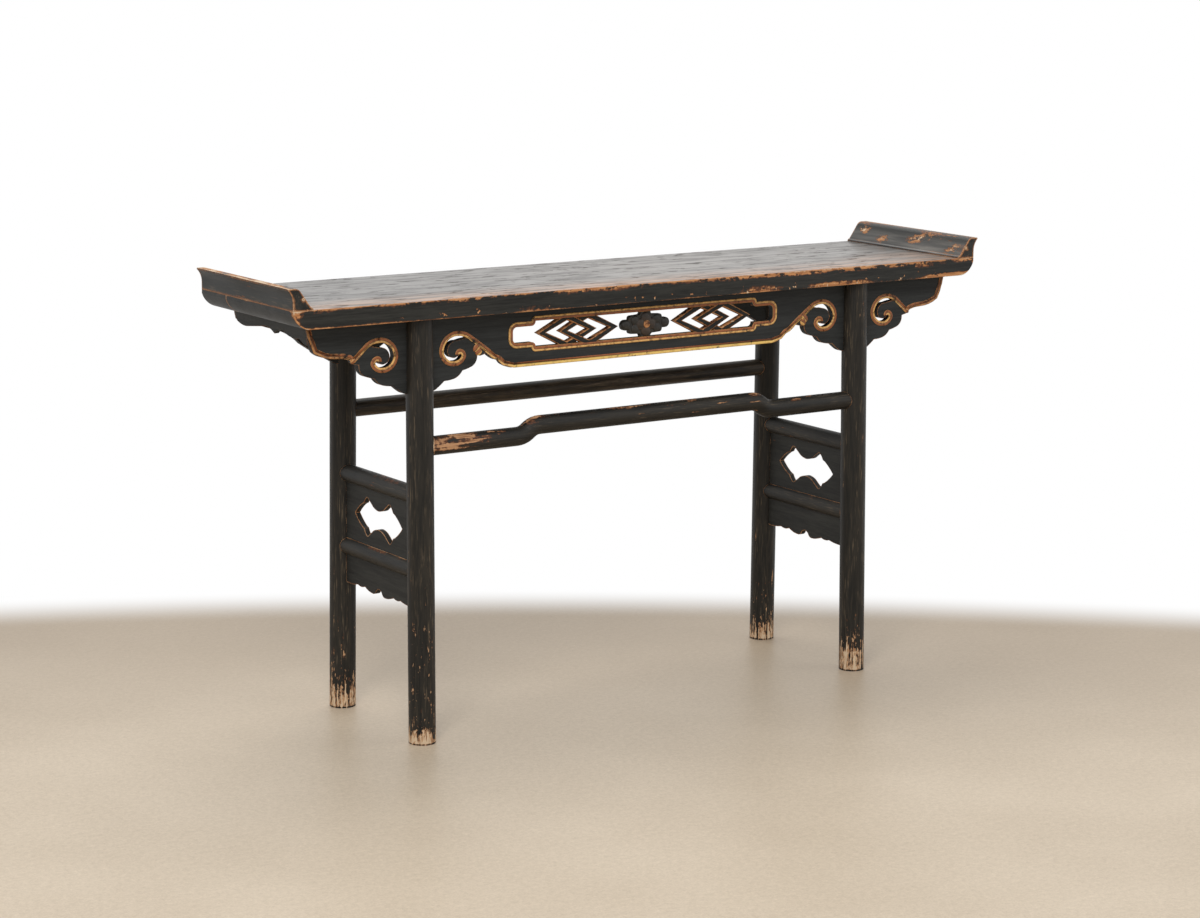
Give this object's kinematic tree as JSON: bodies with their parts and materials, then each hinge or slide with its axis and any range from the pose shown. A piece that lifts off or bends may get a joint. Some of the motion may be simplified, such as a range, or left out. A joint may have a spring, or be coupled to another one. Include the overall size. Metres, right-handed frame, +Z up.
{
  "type": "altar table",
  "caption": "Long recessed-leg altar table with everted end flanges, a carved and pierced front apron, a humpback rail and pierced side panels.",
  "frame": {"origin": "on the floor, under the middle of the top", "axes": "+X to the right along the length, -Y out of the pierced front, +Z up"},
  "size_m": [1.583, 0.365, 0.875],
  "materials": {
    "top_lacquer": "worn black lacquer, satin, bare along the arrises",
    "flange_lacquer": "worn black lacquer, satin, bare along the arrises",
    "bare_wood": "bare wood end grain, dull",
    "batten_lacquer": "thin dark lacquer, dull",
    "apron_lacquer": "black lacquer, satin, with a red-brown and gilt bead",
    "strut_lacquer": "black lacquer rubbed through to brown",
    "leg_lacquer": "black lacquer with scratches and pale worn feet",
    "rail_lacquer": "black lacquer rubbed through to brown wood",
    "panel_lacquer": "black lacquer, satin"
  },
  "bodies": {
    "root": {"top_plank_front": "top_lacquer", "top_plank_back": "top_lacquer", "flange_left": "flange_lacquer", "flange_right": "flange_lacquer", "flange_pegs": "bare_wood", "batten_left": "batten_lacquer", "batten_middle": "batten_lacquer", "batten_right": "batten_lacquer", "front_apron": "apron_lacquer", "back_apron": "apron_lacquer", "end_apron_left": "apron_lacquer", "end_apron_right": "apron_lacquer", "lozenge_strut_left": "strut_lacquer", "lozenge_strut_right": "strut_lacquer", "flower_strut": "strut_lacquer", "leg_front_left": "leg_lacquer", "leg_front_right": "leg_lacquer", "leg_back_left": "leg_lacquer", "leg_back_right": "leg_lacquer", "humpback_rail": "rail_lacquer", "back_rail": "rail_lacquer", "side_rail_upper_left": "rail_lacquer", "side_rail_upper_right": "rail_lacquer", "side_rail_lower_left": "rail_lacquer", "side_rail_lower_right": "rail_lacquer", "side_panel_left": "panel_lacquer", "side_panel_right": "panel_lacquer", "side_skirt_left": "panel_lacquer", "side_skirt_right": "panel_lacquer"}
  },
  "joints": []
}
